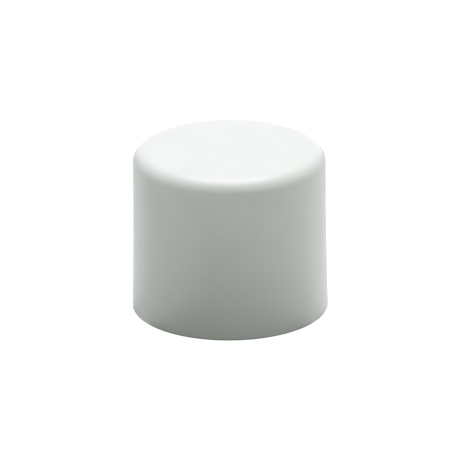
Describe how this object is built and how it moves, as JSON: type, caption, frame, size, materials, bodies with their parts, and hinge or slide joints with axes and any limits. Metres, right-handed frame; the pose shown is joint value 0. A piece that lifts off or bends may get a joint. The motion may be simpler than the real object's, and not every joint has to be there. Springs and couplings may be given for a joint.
{
  "type": "pipe end cap",
  "caption": "Round plastic pipe end cap: a drafted smooth cup with a flat closed end, a rounded top edge and a tapered blind socket with a pipe stop.",
  "frame": {"origin": "centre of the open rim's plane, where the pipe enters", "axes": "+Z along the pipe's axis, from the open rim up through the closed end; X and Y are alike, because the cap is round"},
  "size_m": [0.033, 0.033, 0.028],
  "materials": {
    "white_pvc": "satin moulded rigid PVC, off-white"
  },
  "bodies": {
    "root": {"cap_body": "white_pvc"}
  },
  "joints": []
}
